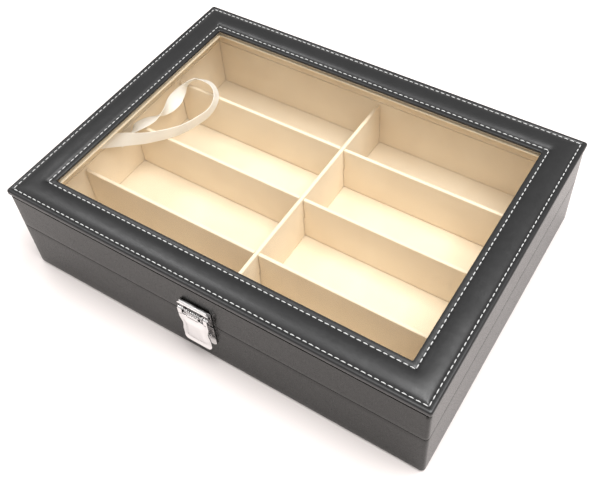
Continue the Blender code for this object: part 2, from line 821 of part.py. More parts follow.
def build_lid(body, leather, board, velvet, foam, glass, metal):
    walls = four_walls("lid", "board", BOARD_OUTER, BOARD_INNER, LID_Z + LEATHER + GAP, PLATE_Z - GAP)
    wrap = lid_leather()
    back_head = HALF_Y + 2 * GAP + LEAF
    front_head = out(2 * GAP + LATCH_SHEET)
    leaves = {
        hinge: hinge_leaf(f"{hinge}_lid_leaf", x, 1)
        for hinge, x in (("left_hinge", -HINGE_X), ("right_hinge", HINGE_X))
    }
    for hinge, which, x, z in hinge_nail_places(1):
        for piece in (walls["back"], wrap, leaves[hinge]):
            cut(piece, nail_hole(x, back_head, z, 1))
        finish(nail(f"{hinge}_lid_{which}", x, back_head, z, 1), metal, body)
    plate = latch_lid_plate()
    for which, x, z in latch_nail_places(LID_NAIL_Z):
        for piece in (walls["front"], wrap, plate):
            cut(piece, nail_hole(x, front_head, z, -1))
        finish(nail(f"latch_plate_{which}", x, front_head, z, -1), metal, body)
    for piece in (*leaves.values(), plate, latch_pin(), latch_spring()):
        finish(piece, metal, body)
    for piece in (wrap, frame_leather()):
        finish(piece, leather, body)
    for piece in (*walls.values(), window_board()):
        finish(piece, board, body)
    finish(frame_padding(), foam, body)
    finish(window_pane(), glass, body)
    linings_top = PLATE_Z - 3 * GAP - PANE - RETAINER
    linings = four_walls("lid", "lining", LINING_OUTER, LINING_INNER, LINING_TOP_Z + 0.4 * MM, linings_top)
    for piece in (*linings.values(), window_retainer()):
        finish(piece, velvet, body)


def centre_footprint(bodies):
    """Moves the bodies so that the object's footprint is centred on the origin."""
    bpy.context.view_layer.update()
    ys = []
    for obj in bpy.context.scene.objects:
        if obj.type != "EMPTY":
            ys += [(obj.matrix_world @ Vector(corner)).y for corner in obj.bound_box]
    for body in bodies:
        body.location.y -= (min(ys) + max(ys)) / 2


def main():
    for obj in list(bpy.data.objects):
        bpy.data.objects.remove(obj)
    leather = look("black_leather", (0.03, 0.03, 0.032), 0.42)
    board = look("fibreboard", (0.42, 0.3, 0.19), 0.8)
    velvet = look("cream_velvet", (0.82, 0.66, 0.46), 0.95)
    felt = look("black_felt", (0.02, 0.02, 0.02), 0.95)
    foam = look("foam", (0.75, 0.73, 0.68), 0.9)
    glass = look("clear_pane", (0.95, 0.97, 0.97), 0.03, alpha=0.15)
    chrome = look("chromed_steel", (0.85, 0.85, 0.87), 0.12, metallic=1.0)
    satin = look("satin_ribbon", (0.93, 0.84, 0.7), 0.35)

    base = pivot("base_frame", (0, 0, 0))
    lid = pivot("lid_hinge_axis", (0, HINGE_AXIS_Y, HINGE_AXIS_Z))
    flap = pivot("latch_flap_axis", (LATCH_X, LATCH_AXIS_Y, LATCH_AXIS_Z))
    build_base(base, leather, board, velvet, felt, chrome)
    build_lid(lid, leather, board, velvet, foam, glass, chrome)
    finish(latch_flap(), chrome, flap)
    finish(lid_stay_ribbon(), satin, base)
    centre_footprint((base, lid, flap))


main()
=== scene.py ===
import math
import random

import bmesh
import bpy
import numpy as np
from mathutils import Matrix, Vector, noise


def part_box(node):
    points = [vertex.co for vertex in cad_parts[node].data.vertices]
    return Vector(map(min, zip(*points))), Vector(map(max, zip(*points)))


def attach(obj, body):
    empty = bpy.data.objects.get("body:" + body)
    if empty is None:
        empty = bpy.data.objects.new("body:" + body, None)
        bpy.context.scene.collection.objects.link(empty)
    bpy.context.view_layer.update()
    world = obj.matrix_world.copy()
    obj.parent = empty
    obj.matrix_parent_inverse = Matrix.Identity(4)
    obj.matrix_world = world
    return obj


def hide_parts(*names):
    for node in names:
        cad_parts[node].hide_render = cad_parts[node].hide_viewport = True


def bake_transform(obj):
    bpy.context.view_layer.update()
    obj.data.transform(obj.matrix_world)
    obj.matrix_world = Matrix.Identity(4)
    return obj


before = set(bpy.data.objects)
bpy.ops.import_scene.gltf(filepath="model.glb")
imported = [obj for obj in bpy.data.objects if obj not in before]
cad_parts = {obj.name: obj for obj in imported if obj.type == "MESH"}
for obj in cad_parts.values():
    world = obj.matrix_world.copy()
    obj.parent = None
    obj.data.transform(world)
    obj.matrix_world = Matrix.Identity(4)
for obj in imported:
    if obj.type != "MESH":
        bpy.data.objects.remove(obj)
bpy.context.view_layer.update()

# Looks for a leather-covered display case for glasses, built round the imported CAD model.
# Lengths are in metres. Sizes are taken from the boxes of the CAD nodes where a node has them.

MM = 0.001

plate_low, plate_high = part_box("lid_frame_leather")
wrap_low, wrap_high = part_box("lid_leather_wrap")
base_low, base_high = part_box("base_leather_wrap")
board_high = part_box("lid_window_board")[1]
CENTRE_Y = (plate_low.y + plate_high.y) / 2
PLATE_X = plate_high.x
PLATE_Y = plate_high.y - CENTRE_Y
WALL_X = wrap_high.x
WALL_Y = wrap_high.y - CENTRE_Y
WALL_CORNER = 3 * MM
LEATHER = 0.7 * MM

# The padded frame of the lid: insets from the plate's edge, and heights.
STITCH_OUTER = 3.9 * MM
STITCH_INNER = 21.1 * MM
WINDOW_EDGE = 25.2 * MM
STITCH_Z = plate_high.z - 1.0 * MM
PUFF = 2.0 * MM  # crown of the padding above the stitches' level
PUFF_FLATNESS, PUFF_SHOULDER = 2.4, 0.85  # exponents of the crown's curve
FRAME_RIPPLES = ((60, 3.0, 0.12 * MM), (190, 7.0, 0.05 * MM))  # scale, slice of the noise, height

# The stitches, and how they pull the leather in.
STITCH_PITCH = 4.5 * MM
STITCH_LENGTH = 3.2 * MM
THREAD_RADIUS = 0.33 * MM
THREAD_WIDER, THREAD_FLATTER = 1.12, 0.85
THREAD_RISE, THREAD_SINK = 0.34 * MM, 0.3 * MM
PULL_DEPTH = 0.42 * MM
PULL_WIDTH = 0.95 * MM
PULL_REACH = 2.5 * MM
ROW_END = 0.5 * MM
HOLE_SHARE = 0.45

# The leather of the walls.
WALL_DIP = 0.08 * MM
SEAM_EASE = 6 * MM
SEAM_OPEN = 0.6 * MM  # at the sides and the back
SEAM_TIGHT = 0.26 * MM  # at the front, under the latch
RIM_RADIUS = 0.35 * MM
FOOT_RADIUS = 1.1 * MM
FOOT_TURN_IN = 14 * MM
RIM_TURN_IN = 4.5 * MM
LID_TURN_IN = (4.52 * MM, 4.72 * MM)  # front and back of the leather behind the lid's lining
LID_TURN_UP = 11 * MM
LID_GROOVE = 2.3 * MM

# The latch: reaches out from the wall's front face, and heights.
pin_low, pin_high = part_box("latch_pin")
WALL_FRONT = wrap_low.y
LATCH_X = (pin_low.x + pin_high.x) / 2
PIN_Y, PIN_Z = (pin_low.y + pin_high.y) / 2, (pin_low.z + pin_high.z) / 2
PIN_REACH = WALL_FRONT - PIN_Y
KNUCKLE_RADIUS = 1.7 * MM
KNUCKLE_X = (9 * MM, 12.2 * MM)
FLAP_SHEET = 0.8 * MM
FLAP_FACE = PIN_REACH + KNUCKLE_RADIUS
FLAP_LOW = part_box("latch_flap")[0].z
FLAP_START = FLAP_LOW + 0.05 * MM
FLAP_SHOULDER = 51 * MM
FLAP_HALF_WIDTH = 11.6 * MM
FLAP_CORNER = 4 * MM
PANEL_RISE = 0.74 * MM
LIP_RISE = 0.8 * MM
TONGUE_HALF_WIDTH, TONGUE_RISE = 4.4 * MM, 2.4 * MM
HOOK_HALF_WIDTH, HOOK_REACH, HOOK_Z = 4 * MM, 3.1 * MM, (38 * MM, 39.2 * MM)
# faces of the lid plate above this height get the lighter chrome, which is a painted highlight
CURL_LOW = 60 * MM
SPRING_WIRE, SPRING_RADIUS, SPRING_HALF_LENGTH = 0.35 * MM, 1.35 * MM, 5.2 * MM
SPRING_TURNS, SPRING_STEPS = 6.625, 28  # steps to a turn

# The ribbon: knots of (x, y from the case's middle, z, roll in degrees), from base to lid.
RIBBON_WIDTH = 12 * MM
RIBBON_THICKNESS = 0.32 * MM
RIBBON_CUP = 0.25 * MM
RIBBON_COLUMNS = 8
RIBBON_STEPS = 9  # stations from one knot to the next
RIBBON_CREST = 9  # the knot where the two halves meet
RIBBON_ROUTE_MM = (
    (-160.3, -22, 44.5, 88),
    (-158.6, -14, 46.8, 66),
    (-154.4, -5, 51.8, 13),
    (-150.5, 8, 51.5, 16),
    (-147.2, 20, 51.5, 70),
    (-147.2, 34, 52, 122),
    (-148, 47, 53.5, 92),
    (-148, 55, 55.5, 59),
    (-144.5, 61.5, 56.3, 46),
    (-134.7, 63.5, 56.3, 41),
    (-123.5, 59, 56.3, 61),
    (-115.4, 50, 55.8, 85),
    (-112, 38.9, 54.3, 101),
    (-113.3, 27.6, 53.5, 104),
    (-119.4, 6.7, 54.7, 102),
    (-134.5, -12.9, 56, 93),
    (-147, -23.6, 57.5, 79),
    (-156.5, -33.5, 60, 70),
    (-160.3, -42, 63.5, 88),
)

# The camera, fitted to the edges and stitch rows of the photographed case.
CAMERA_PLACE = (0.24076, -0.32422, 0.51277)
CAMERA_TURN = (40.602, 2.18, 31.844)
CAMERA_LENS = 49.813
CAMERA_SHIFT = (-0.03755, -0.0684)

# The studio. Ranges are (from low, from high, to low, to high).
FLOOR_HALF = 3.0
ROOM_COLOUR = (1.0, 0.99, 0.98, 1)
DIM_WALL_DIRECTION = (-0.369, 0.527, 0.766)
DIM_WALL_RANGE = (0.62, 0.93, 1.0, 0.5)
DOME_RANGE = (0.1, 0.85, 0.45, 1.25)
LIGHT_AIM = (0, 0, 0.05)
SOFTBOXES = (  # name, place, size, power
    ("softbox_key", (0.34, 0.03, 1.2), (0.75, 0.8), 16.5),
    ("softbox_left", (-0.66, 0.1, 1.15), (0.4, 0.36), 3.5),
)


# ---------------------------------------------------------------- node materials


class Look:
    """A Principled material, and short ways to hang nodes on it."""

    def __init__(self, name, colour, roughness, metallic=0.0, **sockets):
        self.material = bpy.data.materials.new(name)
        self.material.use_nodes = True
        self.tree = self.material.node_tree
        self.shader = self.tree.nodes["Principled BSDF"]
        self.set("Base Color", (*colour, 1))
        self.set("Roughness", roughness)
        self.set("Metallic", metallic)
        for socket, value in sockets.items():
            self.set(socket.replace("_", " "), value)
        self.material.diffuse_color = (*colour, 1)
        self.place = None

    def set(self, socket, value):
        target = self.shader.inputs[socket]
        if isinstance(value, bpy.types.NodeSocket):
            self.tree.links.new(value, target)
        else:
            target.default_value = value

    def node(self, kind, inputs=(), **settings):
        node = self.tree.nodes.new(kind)
        for key, value in settings.items():
            setattr(node, key, value)
        for key, value in dict(inputs).items():
            if isinstance(value, bpy.types.NodeSocket):
                self.tree.links.new(value, node.inputs[key])
            else:
                node.inputs[key].default_value = value
        return node

    def coordinates(self, output="Object", scale=(1, 1, 1), turn=0.0):
        if self.place is None:
            self.place = self.node("ShaderNodeTexCoord")
        inputs = {"Vector": self.place.outputs[output], "Scale": scale, "Rotation": (0, 0, turn)}
        return self.node("ShaderNodeMapping", inputs).outputs["Vector"]

    def noise(self, scale, detail=3.0, vector=None, distortion=0.0):
        vector = vector or self.coordinates()
        inputs = {"Vector": vector, "Scale": scale, "Detail": detail, "Distortion": distortion}
        return self.node("ShaderNodeTexNoise", inputs).outputs["Fac"]

    def cells(self, scale):
        """Distance to the nearest edge of a pattern of cells."""
        inputs = {"Vector": self.coordinates(), "Scale": scale}
        node = self.node("ShaderNodeTexVoronoi", inputs, feature="DISTANCE_TO_EDGE")
        return node.outputs["Distance"]

    def ramp(self, value, low, high, start=0.3, end=0.7):
        """Value between start and end turned into a colour from low to high."""
        node = self.node("ShaderNodeValToRGB", {"Fac": value})
        for stop, position, colour in zip(node.color_ramp.elements, (start, end), (low, high)):
            stop.position = position
            stop.color = (*colour, 1)
        return node.outputs["Color"]

    def range(self, value, low, high, start=0.3, end=0.7):
        """Value between start and end turned into a number from low to high."""
        inputs = {"Value": value, "From Min": start, "From Max": end, "To Min": low, "To Max": high}
        return self.node("ShaderNodeMapRange", inputs).outputs["Result"]

    def product(self, a, b):
        """Two colours multiplied."""
        node = self.node("ShaderNodeMix", data_type="RGBA", blend_type="MULTIPLY")
        node.inputs[0].default_value = 1.0
        self.tree.links.new(a, node.inputs[6])
        self.tree.links.new(b, node.inputs[7])
        return node.outputs[2]

    def bump(self, height, distance, strength=1.0, under=None):
        inputs = {"Height": height, "Distance": distance, "Strength": strength}
        if under is not None:
            inputs["Normal"] = under
        return self.node("ShaderNodeBump", inputs).outputs["Normal"]


def leather_look(name, shade, roughness, specular=0.5, grain_depth=1.0):
    """Smooth artificial leather: fine pebbled grain, faint pull marks, and uneven gloss."""
    light = tuple(c * 1.35 for c in shade)
    look = Look(name, shade, roughness, IOR=1.48, Specular_IOR_Level=specular)
    patches = look.noise(55, 4)
    look.set("Base Color", look.ramp(patches, shade, light, 0.35, 0.75))
    grain = look.cells(1500)
    pores = look.noise(5200, 2)
    look.set("Roughness", look.range(look.noise(900, 3), roughness - 0.05, roughness + 0.08))
    waves = look.bump(look.noise(140, 2), 0.25 * MM, 0.25)
    pebbles = look.bump(grain, 0.05 * MM, 0.35 * grain_depth, waves)
    look.set("Normal", look.bump(pores, 0.02 * MM, 0.25 * grain_depth, pebbles))
    return look.material


def velvet_look(name, dark, light):
    """Short velvet pile: soft patches where the pile leans, a fine nap, and a sheen."""
    look = Look(name, light, 0.92, Sheen_Weight=0.35, Sheen_Roughness=0.45, Specular_IOR_Level=0.2)
    look.set("Sheen Tint", (1.0, 0.93, 0.82, 1))
    leaning = look.noise(26, 3, distortion=0.6)
    nap = look.noise(2600, 2)
    base = look.ramp(leaning, dark, light, 0.25, 0.72)
    speck = look.ramp(nap, (0.93, 0.93, 0.93), (1.0, 1.0, 1.0))
    look.set("Base Color", look.product(base, speck))
    dents = look.bump(look.noise(90, 3), 0.2 * MM, 0.15)
    look.set("Normal", look.bump(nap, 0.03 * MM, 0.15, dents))
    return look.material


def satin_look(name):
    """Satin ribbon: long floats across the band, and a raised woven edge."""
    look = Look(name, (0.9, 0.8, 0.66), 0.36, Sheen_Weight=0.25, Sheen_Roughness=0.3)
    look.set("Sheen Tint", (1.0, 0.97, 0.9, 1))
    threads = look.node(
        "ShaderNodeTexWave",
        {"Vector": look.coordinates("UV"), "Scale": 90.0, "Distortion": 0.6, "Detail": 2.0},
        bands_direction="X",
    )
    streaks = look.noise(14, 3, look.coordinates("UV", (1, 9, 1)))
    look.set("Base Color", look.ramp(streaks, (0.97, 0.955, 0.93), (1.0, 0.995, 0.98)))
    look.set("Roughness", look.range(streaks, 0.28, 0.44))
    look.set("Normal", look.bump(threads.outputs["Fac"], 0.06 * MM, 0.5))
    return look.material


def thread_look(name):
    """Waxed white thread of two twisted strands."""
    look = Look(name, (0.8, 0.8, 0.79), 0.6, Sheen_Weight=0.2)
    twist = look.node(
        "ShaderNodeTexWave",
        {"Vector": look.coordinates("UV", turn=math.radians(35)), "Scale": 1.6},
        bands_direction="X",
    )
    # darker bands along the twist: painted shade in the grooves between the strands
    colour = look.ramp(twist.outputs["Fac"], (0.48, 0.48, 0.48), (0.7, 0.7, 0.69), 0.1, 0.6)
    look.set("Base Color", colour)
    look.set("Normal", look.bump(twist.outputs["Fac"], 0.1 * MM, 0.8))
    return look.material


def chrome_look(name, tone, roughness):
    """Polished plating with faint hairlines and a little haze."""
    look = Look(name, (tone, tone * 0.985, tone * 0.98), roughness, metallic=1.0)
    hairlines = look.noise(700, 2, look.coordinates("Object", (1, 1, 0.06)))
    haze = look.noise(160, 3)
    look.set("Roughness", look.range(haze, roughness * 0.7, roughness * 1.6))
    look.set("Normal", look.bump(hairlines, 0.01 * MM, 0.25))
    return look.material


def board_look(name):
    """Bare fibreboard."""
    look = Look(name, (0.55, 0.46, 0.34), 0.85)
    fibres = look.noise(700, 4)
    look.set("Base Color", look.ramp(fibres, (0.46, 0.37, 0.26), (0.62, 0.53, 0.4)))
    look.set("Normal", look.bump(fibres, 0.1 * MM, 0.6))
    return look.material


def felt_look(name):
    """Short black felt."""
    look = Look(name, (0.02, 0.02, 0.021), 0.95, Sheen_Weight=0.3)
    fibres = look.noise(1300, 5, distortion=1.5)
    look.set("Base Color", look.ramp(fibres, (0.008, 0.008, 0.009), (0.045, 0.045, 0.047)))
    look.set("Normal", look.bump(fibres, 0.25 * MM, 0.9))
    return look.material


def pane_look(name):
    """Clear pane: what is behind shows through, and it mirrors more at a flat angle."""
    look = Look(name, (0.97, 0.98, 0.98), 0.03)
    tree = look.tree
    clear = look.node("ShaderNodeBsdfTransparent", {"Color": (0.985, 0.985, 0.975, 1)})
    smudges = look.range(look.noise(35, 4), 0.015, 0.06)
    mirror = look.node("ShaderNodeBsdfGlossy", {"Roughness": smudges})
    slant = look.node("ShaderNodeLayerWeight", {"Blend": 0.5}).outputs["Facing"]
    steep = look.node("ShaderNodeMath", {0: slant, 1: 5.0}, operation="POWER").outputs["Value"]
    share = look.range(steep, 0.035, 1.0, 0.0, 1.0)
    mixed = look.node("ShaderNodeMixShader", {0: share, 1: clear.outputs[0], 2: mirror.outputs[0]})
    tree.links.new(mixed.outputs[0], tree.nodes["Material Output"].inputs["Surface"])
    tree.nodes.remove(look.shader)
    return look.material


frame_leather = leather_look("frame_leather", (0.009, 0.009, 0.0093), 0.34)
wall_leather = leather_look("wall_leather", (0.0072, 0.0072, 0.0064), 0.24, 0.18, 0.4)
velvet = velvet_look("cream_velvet", (0.84, 0.71, 0.54), (0.9, 0.78, 0.61))
satin = satin_look("satin_ribbon")
thread = thread_look("white_thread")
latch_chrome = chrome_look("latch_chrome", 0.7, 0.1)
# The plates' chrome has a darker tone than the latch's: painted shade, for the plates standing back
# in shadow behind the flap.
plate_chrome_painted_shade = chrome_look("plate_chrome_painted_shade", 0.58, 0.12)
# The curl's chrome is rougher, and its lighter tone is a painted highlight on the curl's top.
curl_chrome_painted_light = chrome_look("curl_chrome_painted_light", 0.85, 0.42)
hinge_chrome = chrome_look("hinge_nickel", 0.72, 0.22)
fibreboard = board_look("fibreboard")
felt = felt_look("black_felt")
pane_glass = pane_look("clear_pane")


# ---------------------------------------------------------------- mesh tools


def linked(name, mesh):
    """An object for the mesh, in the scene."""
    piece = bpy.data.objects.new(name, mesh)
    bpy.context.scene.collection.objects.link(piece)
    return piece


def mesh_piece(name, vertices, faces, material, smooth_angle=180.0):
    """A piece from points and faces, smooth across edges flatter than the angle."""
    mesh = bpy.data.meshes.new(name)
    mesh.from_pydata([tuple(v) for v in vertices], [], [tuple(f) for f in faces])
    bm = bmesh.new()
    bm.from_mesh(mesh)
    bmesh.ops.recalc_face_normals(bm, faces=bm.faces)
    bm.to_mesh(mesh)
    bm.free()
    mesh.shade_smooth()
    if smooth_angle < 180:
        mesh.set_sharp_from_angle(angle=math.radians(smooth_angle))
    mesh.materials.append(material)
    return linked(name, mesh)


def give_uvs(piece, name, coordinates):
    """One UV for each vertex, from the list."""
    layer = piece.data.uv_layers.new(name=name)
    for loop in piece.data.loops:
        layer.data[loop.index].uv = coordinates[loop.vertex_index]


def evaluated_mesh(piece):
    """The piece's mesh with its modifiers or its curve bevel worked out."""
    graph = bpy.context.evaluated_depsgraph_get()
    return bpy.data.meshes.new_from_object(piece.evaluated_get(graph))


def tube_faces(rings, around):
    """Faces of a closed tube whose points are listed ring by ring."""
    faces = []
    for ring in range(rings - 1):
        near, far = ring * around, (ring + 1) * around
        for i in range(around):
            j = (i + 1) % around
            faces.append((near + i, near + j, far + j, far + i))
    faces.append(tuple(range(around)))
    faces.append(tuple((rings - 1) * around + i for i in range(around)))
    return faces


def rounded_rectangle(half_x, half_y, radius, steps_x, steps_y, steps_corner):
    """Points round a rectangle about (0, CENTRE_Y), counterclockwise, as many for every size."""
    points = []
    corners = ((1, 1), (-1, 1), (-1, -1), (1, -1))
    for quarter, (sign_x, sign_y) in enumerate(corners):
        centre = np.array((sign_x * (half_x - radius), sign_y * (half_y - radius)))
        for step in range(steps_corner + 1):
            angle = (quarter + step / steps_corner) * math.pi / 2
            points.append(centre + radius * np.array((math.cos(angle), math.sin(angle))))
        after = corners[(quarter + 1) % 4]
        angle = (quarter + 1) * math.pi / 2
        far = np.array((after[0] * (half_x - radius), after[1] * (half_y - radius)))
        far = far + radius * np.array((math.cos(angle), math.sin(angle)))
        near = points[-1]
        steps = steps_x if quarter % 2 == 0 else steps_y
        for step in range(1, steps):
            points.append(near + (far - near) * step / steps)
    return np.array(points) + np.array((0, CENTRE_Y))


def swept_ring(name, section, counts, material, shape, smooth_angle=180.0):
    """A closed section of (half x, half y, corner radius, z), swept round the case.

    shape takes all the points and returns them moved.
    """
    loops = []
    for half_x, half_y, radius, z in section:
        flat = rounded_rectangle(half_x, half_y, radius, *counts)
        loops.append(np.column_stack((flat, np.full(len(flat), z))))
    vertices = shape(np.vstack(loops))
    count = len(loops[0])
    faces = []
    for a in range(len(loops)):
        b = (a + 1) % len(loops)
        for i in range(count):
            j = (i + 1) % count
            faces.append((a * count + i, a * count + j, b * count + j, b * count + i))
    return mesh_piece(name, vertices, faces, material, smooth_angle)


def rolled(centre, radius, start, steps=6):
    """A quarter turn about the centre from angle start, in degrees, as (inset, z) points."""
    points = []
    for step in range(steps + 1):
        angle = math.radians(start + 90 * step / steps)
        points.append((centre[0] - radius * math.cos(angle), centre[1] + radius * math.sin(angle)))
    return points


def finished(bm, name, bevel, material, segments=3):
    """The mesh with rounded edges, shaded so that its flat faces stay flat."""
    bmesh.ops.recalc_face_normals(bm, faces=bm.faces)
    mesh = bpy.data.meshes.new(name)
    bm.to_mesh(mesh)
    bm.free()
    mesh.materials.append(material)
    mesh.shade_smooth()
    piece = linked(name, mesh)
    rounding = piece.modifiers.new("rounding", "BEVEL")
    rounding.width = bevel
    rounding.segments = segments
    rounding.limit_method = "ANGLE"
    rounding.angle_limit = math.radians(32)
    rounding.use_clamp_overlap = True
    piece.modifiers.new("flat_faces_stay_flat", "WEIGHTED_NORMAL")
    piece.data = evaluated_mesh(piece)
    piece.modifiers.clear()
    return piece


def refined(node, bevel, material, segments=3):
    """A finer copy of a CAD node: flat faces joined, edges rounded."""
    bm = bmesh.new()
    bm.from_mesh(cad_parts[node].data)
    bmesh.ops.remove_doubles(bm, verts=bm.verts, dist=1e-6)
    bmesh.ops.dissolve_limit(bm, angle_limit=math.radians(0.5), verts=bm.verts, edges=bm.edges)
    piece = finished(bm, f"{node}_finish", bevel, material, segments)
    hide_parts(node)
    return piece


def dress(piece, body):
    """The piece rides on the body."""
    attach(piece, body)
    return piece


# ---------------------------------------------------------------- the padded frame of the lid


def stitch_phase(along, half):
    """Where a point lies in its stitch: whole numbers are the holes between two stitches."""
    count = round(2 * half / STITCH_PITCH)
    return (along + half) / (2 * half) * count


def row_pull(x, y, inset):
    """How deep the thread pulls the leather near one row of stitches, from 0 to 1."""
    half_x, half_y = PLATE_X - inset, PLATE_Y - inset
    from_x, from_y = half_x - abs(x), half_y - abs(y)
    if min(from_x, from_y) < -PULL_REACH:
        return 0.0
    far = 1.0
    distance, along, half = min(
        (abs(from_x), y, half_y) if from_y > -ROW_END else (far, 0, half_y),
        (abs(from_y), x, half_x) if from_x > -ROW_END else (far, 0, half_x),
    )
    groove = math.exp(-((distance / PULL_WIDTH) ** 2))
    holes = 0.5 + 0.5 * math.cos(2 * math.pi * stitch_phase(along, half))
    return groove * (1 - HOLE_SHARE + HOLE_SHARE * holes)


def puff_height(x, y):
    """Height of the leather above the stitches' level, between the two rows."""
    outer_x, outer_y = PLATE_X - STITCH_OUTER - abs(x), PLATE_Y - STITCH_OUTER - abs(y)
    inner_x = max(abs(x) - (PLATE_X - STITCH_INNER), 0)
    inner_y = max(abs(y) - (PLATE_Y - STITCH_INNER), 0)
    if outer_x <= 0 or outer_y <= 0:
        return 0.0
    to_outer = (outer_x**-3 + outer_y**-3) ** (-1 / 3)
    to_inner = math.hypot(inner_x, inner_y)
    share = to_outer / (to_outer + to_inner)
    return PUFF * (1 - abs(2 * share - 1) ** PUFF_FLATNESS) ** PUFF_SHOULDER


def frame_shape(vertices):
    """The top of the frame: crowned over the padding, drawn in at the stitches, and uneven."""
    shaped = vertices.copy()
    for i, (x, y, z) in enumerate(vertices):
        if z < STITCH_Z - 0.9 * MM:
            continue
        y -= CENTRE_Y
        top = puff_height(x, y)
        pull = row_pull(x, y, STITCH_OUTER) + row_pull(x, y, STITCH_INNER)
        ripple = 0.0
        for scale, part, height in FRAME_RIPPLES:
            ripple += noise.noise(Vector((x * scale, y * scale, part))) * height
        shaped[i, 2] = z + top - PULL_DEPTH * pull + ripple * min(top / MM + 0.2, 1)
    return shaped


def frame_section():
    """(inset, z) over the frame's top from the outer edge to the window, and back underneath."""
    low = plate_low.z + 0.05 * MM
    board = board_high.z + 0.05 * MM
    points = [(LEATHER, low), (0.3 * MM, low), (0.08 * MM, low + 0.25 * MM)]
    points += [(0, low + 0.7 * MM), (0, low + 1.6 * MM)]
    bead = 1.5 * MM
    shoulder = STITCH_Z + 0.3 * MM
    points += rolled((bead, shoulder - bead), bead, 0, 7)[1:]
    points += [(2.2 * MM, shoulder + 0.02 * MM), (2.9 * MM, shoulder - 0.08 * MM)]
    points += [(3.4 * MM, STITCH_Z + 0.1 * MM)]
    steps = 26
    for step in range(steps + 1):
        share = step / steps
        crowded = share - 0.5 * math.sin(2 * math.pi * share) / (2 * math.pi)
        points.append((STITCH_OUTER + (STITCH_INNER - STITCH_OUTER) * crowded, STITCH_Z))
    lip = 1.1 * MM
    crown = STITCH_Z + 0.25 * MM
    points += [(STITCH_INNER + 0.5 * MM, STITCH_Z + 0.1 * MM)]
    points += [(STITCH_INNER + 1.1 * MM, crown - 0.06 * MM), (STITCH_INNER + 1.9 * MM, crown)]
    points += rolled((WINDOW_EDGE - lip, crown - lip), lip, 90, 6)
    points += [(WINDOW_EDGE, board - 0.2 * MM), (WINDOW_EDGE - 0.15 * MM, board - 0.5 * MM)]
    back = WINDOW_EDGE - LEATHER
    return points + [(back + 0.05 * MM, board - 0.5 * MM), (back, board), (LEATHER, board)]


def frame_corner(inset):
    """Corner radius of the frame: soft at its outer edge and the window, sharper at the stitches."""
    if inset > STITCH_INNER + 1 * MM:
        return 1.2 * MM
    return 1.9 * MM - inset * 0.4 if inset < 3 * MM else 0.7 * MM


def padded_frame():
    """The stitched leather with the foam under it, as one crowned ring."""
    section = []
    for inset, z in frame_section():
        section.append((PLATE_X - inset, PLATE_Y - inset, frame_corner(inset), z))
    name, steps = "lid_frame_padded_leather", (300, 218, 5)
    piece = swept_ring(name, section, steps, frame_leather, frame_shape)
    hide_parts("lid_frame_leather", "lid_frame_padding")
    return dress(piece, "lid")


def stitch_mesh(rng):
    """One stitch along X, its ends sunk in the leather, as points, UVs and faces."""
    rings, sides = 10, 8
    length = STITCH_LENGTH * rng.uniform(0.96, 1.04)
    points, uvs = [], []
    for ring in range(rings + 1):
        share = ring / rings
        bow = math.sin(math.pi * share)
        radius = THREAD_RADIUS * (0.35 + 0.65 * bow**0.45)
        x = (share - 0.5) * length
        z = THREAD_RISE * bow**0.6 - THREAD_SINK
        for side in range(sides):
            angle = 2 * math.pi * side / sides
            y = radius * THREAD_WIDER * math.cos(angle)
            points.append((x, y, z + radius * THREAD_FLATTER * math.sin(angle)))
            uvs.append((share * 3, side / sides))
    return points, uvs, tube_faces(rings + 1, sides)


def stitches():
    """Two rows of single stitches round the frame."""
    rng = random.Random(11)
    vertices, faces, coordinates = [], [], []
    for inset in (STITCH_OUTER, STITCH_INNER):
        half_x, half_y = PLATE_X - inset, PLATE_Y - inset
        for turn, (half, reach) in enumerate(((half_x, half_y), (half_y, half_x)) * 2):
            count = round(2 * half / STITCH_PITCH)
            for i in range(count):
                along = (2 * (i + 0.5) / count - 1) * half
                spin = Matrix.Rotation(turn * math.pi / 2, 4, "Z")
                lean = Matrix.Rotation(rng.uniform(-0.05, 0.05), 4, "Z")
                middle = spin @ Vector((along, -reach, 0))
                height = STITCH_Z + rng.uniform(-0.04, 0.04) * MM
                place = Matrix.Translation((middle.x, middle.y + CENTRE_Y, height))
                points, uvs, sides = stitch_mesh(rng)
                start = len(vertices)
                vertices += [place @ spin @ lean @ Vector(p) for p in points]
                coordinates += uvs
                faces += [tuple(start + v for v in face) for face in sides]
    piece = mesh_piece("lid_frame_stitching", vertices, faces, thread)
    give_uvs(piece, "thread", coordinates)
    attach(piece, "lid")
    return piece


# ---------------------------------------------------------------- the leather of the walls


def seam_shift(x, y):
    """The latch pulls the lid tight at the front. The seam stays a little open at the sides."""
    side = min(max((abs(x) - WALL_X + SEAM_EASE) / SEAM_EASE, 0), 1)
    front = min(max((-y - WALL_Y + SEAM_EASE) / SEAM_EASE, 0), 1)
    return SEAM_OPEN * side * (1 - front) - SEAM_TIGHT * front


def wall_ripple(vertices):
    """The walls' leather is not quite flat: it sinks in by up to a sixth of a millimetre."""
    shaped = vertices.copy()
    for i, (x, y, z) in enumerate(vertices):
        dip = WALL_DIP * (1 + noise.noise(Vector((x * 22, y * 22, z * 30))))
        if abs(x) > WALL_X - 0.3 * MM:
            shaped[i, 0] = x - math.copysign(dip, x)
        if abs(y - CENTRE_Y) > WALL_Y - 0.3 * MM:
            shaped[i, 1] = y - math.copysign(dip, y - CENTRE_Y)
        if abs(z - wrap_low.z) < 1 * MM:
            shaped[i, 2] = z + seam_shift(x, y - CENTRE_Y)
    return shaped


def wall_ring(name, points, node, body):
    """A leather skin round the case, from (inset, z) points."""
    section = []
    for inset, z in points:
        radius = max(WALL_CORNER - inset, 0.4 * MM)
        section.append((WALL_X - inset, WALL_Y - inset, radius, z))
    piece = swept_ring(name, section, (56, 42, 8), wall_leather, wall_ripple, 50)
    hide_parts(node)
    return dress(piece, body)


def wall_points(low, high, steps):
    """Points up the face of the wall."""
    return [(0, low + (high - low) * step / steps) for step in range(steps + 1)]


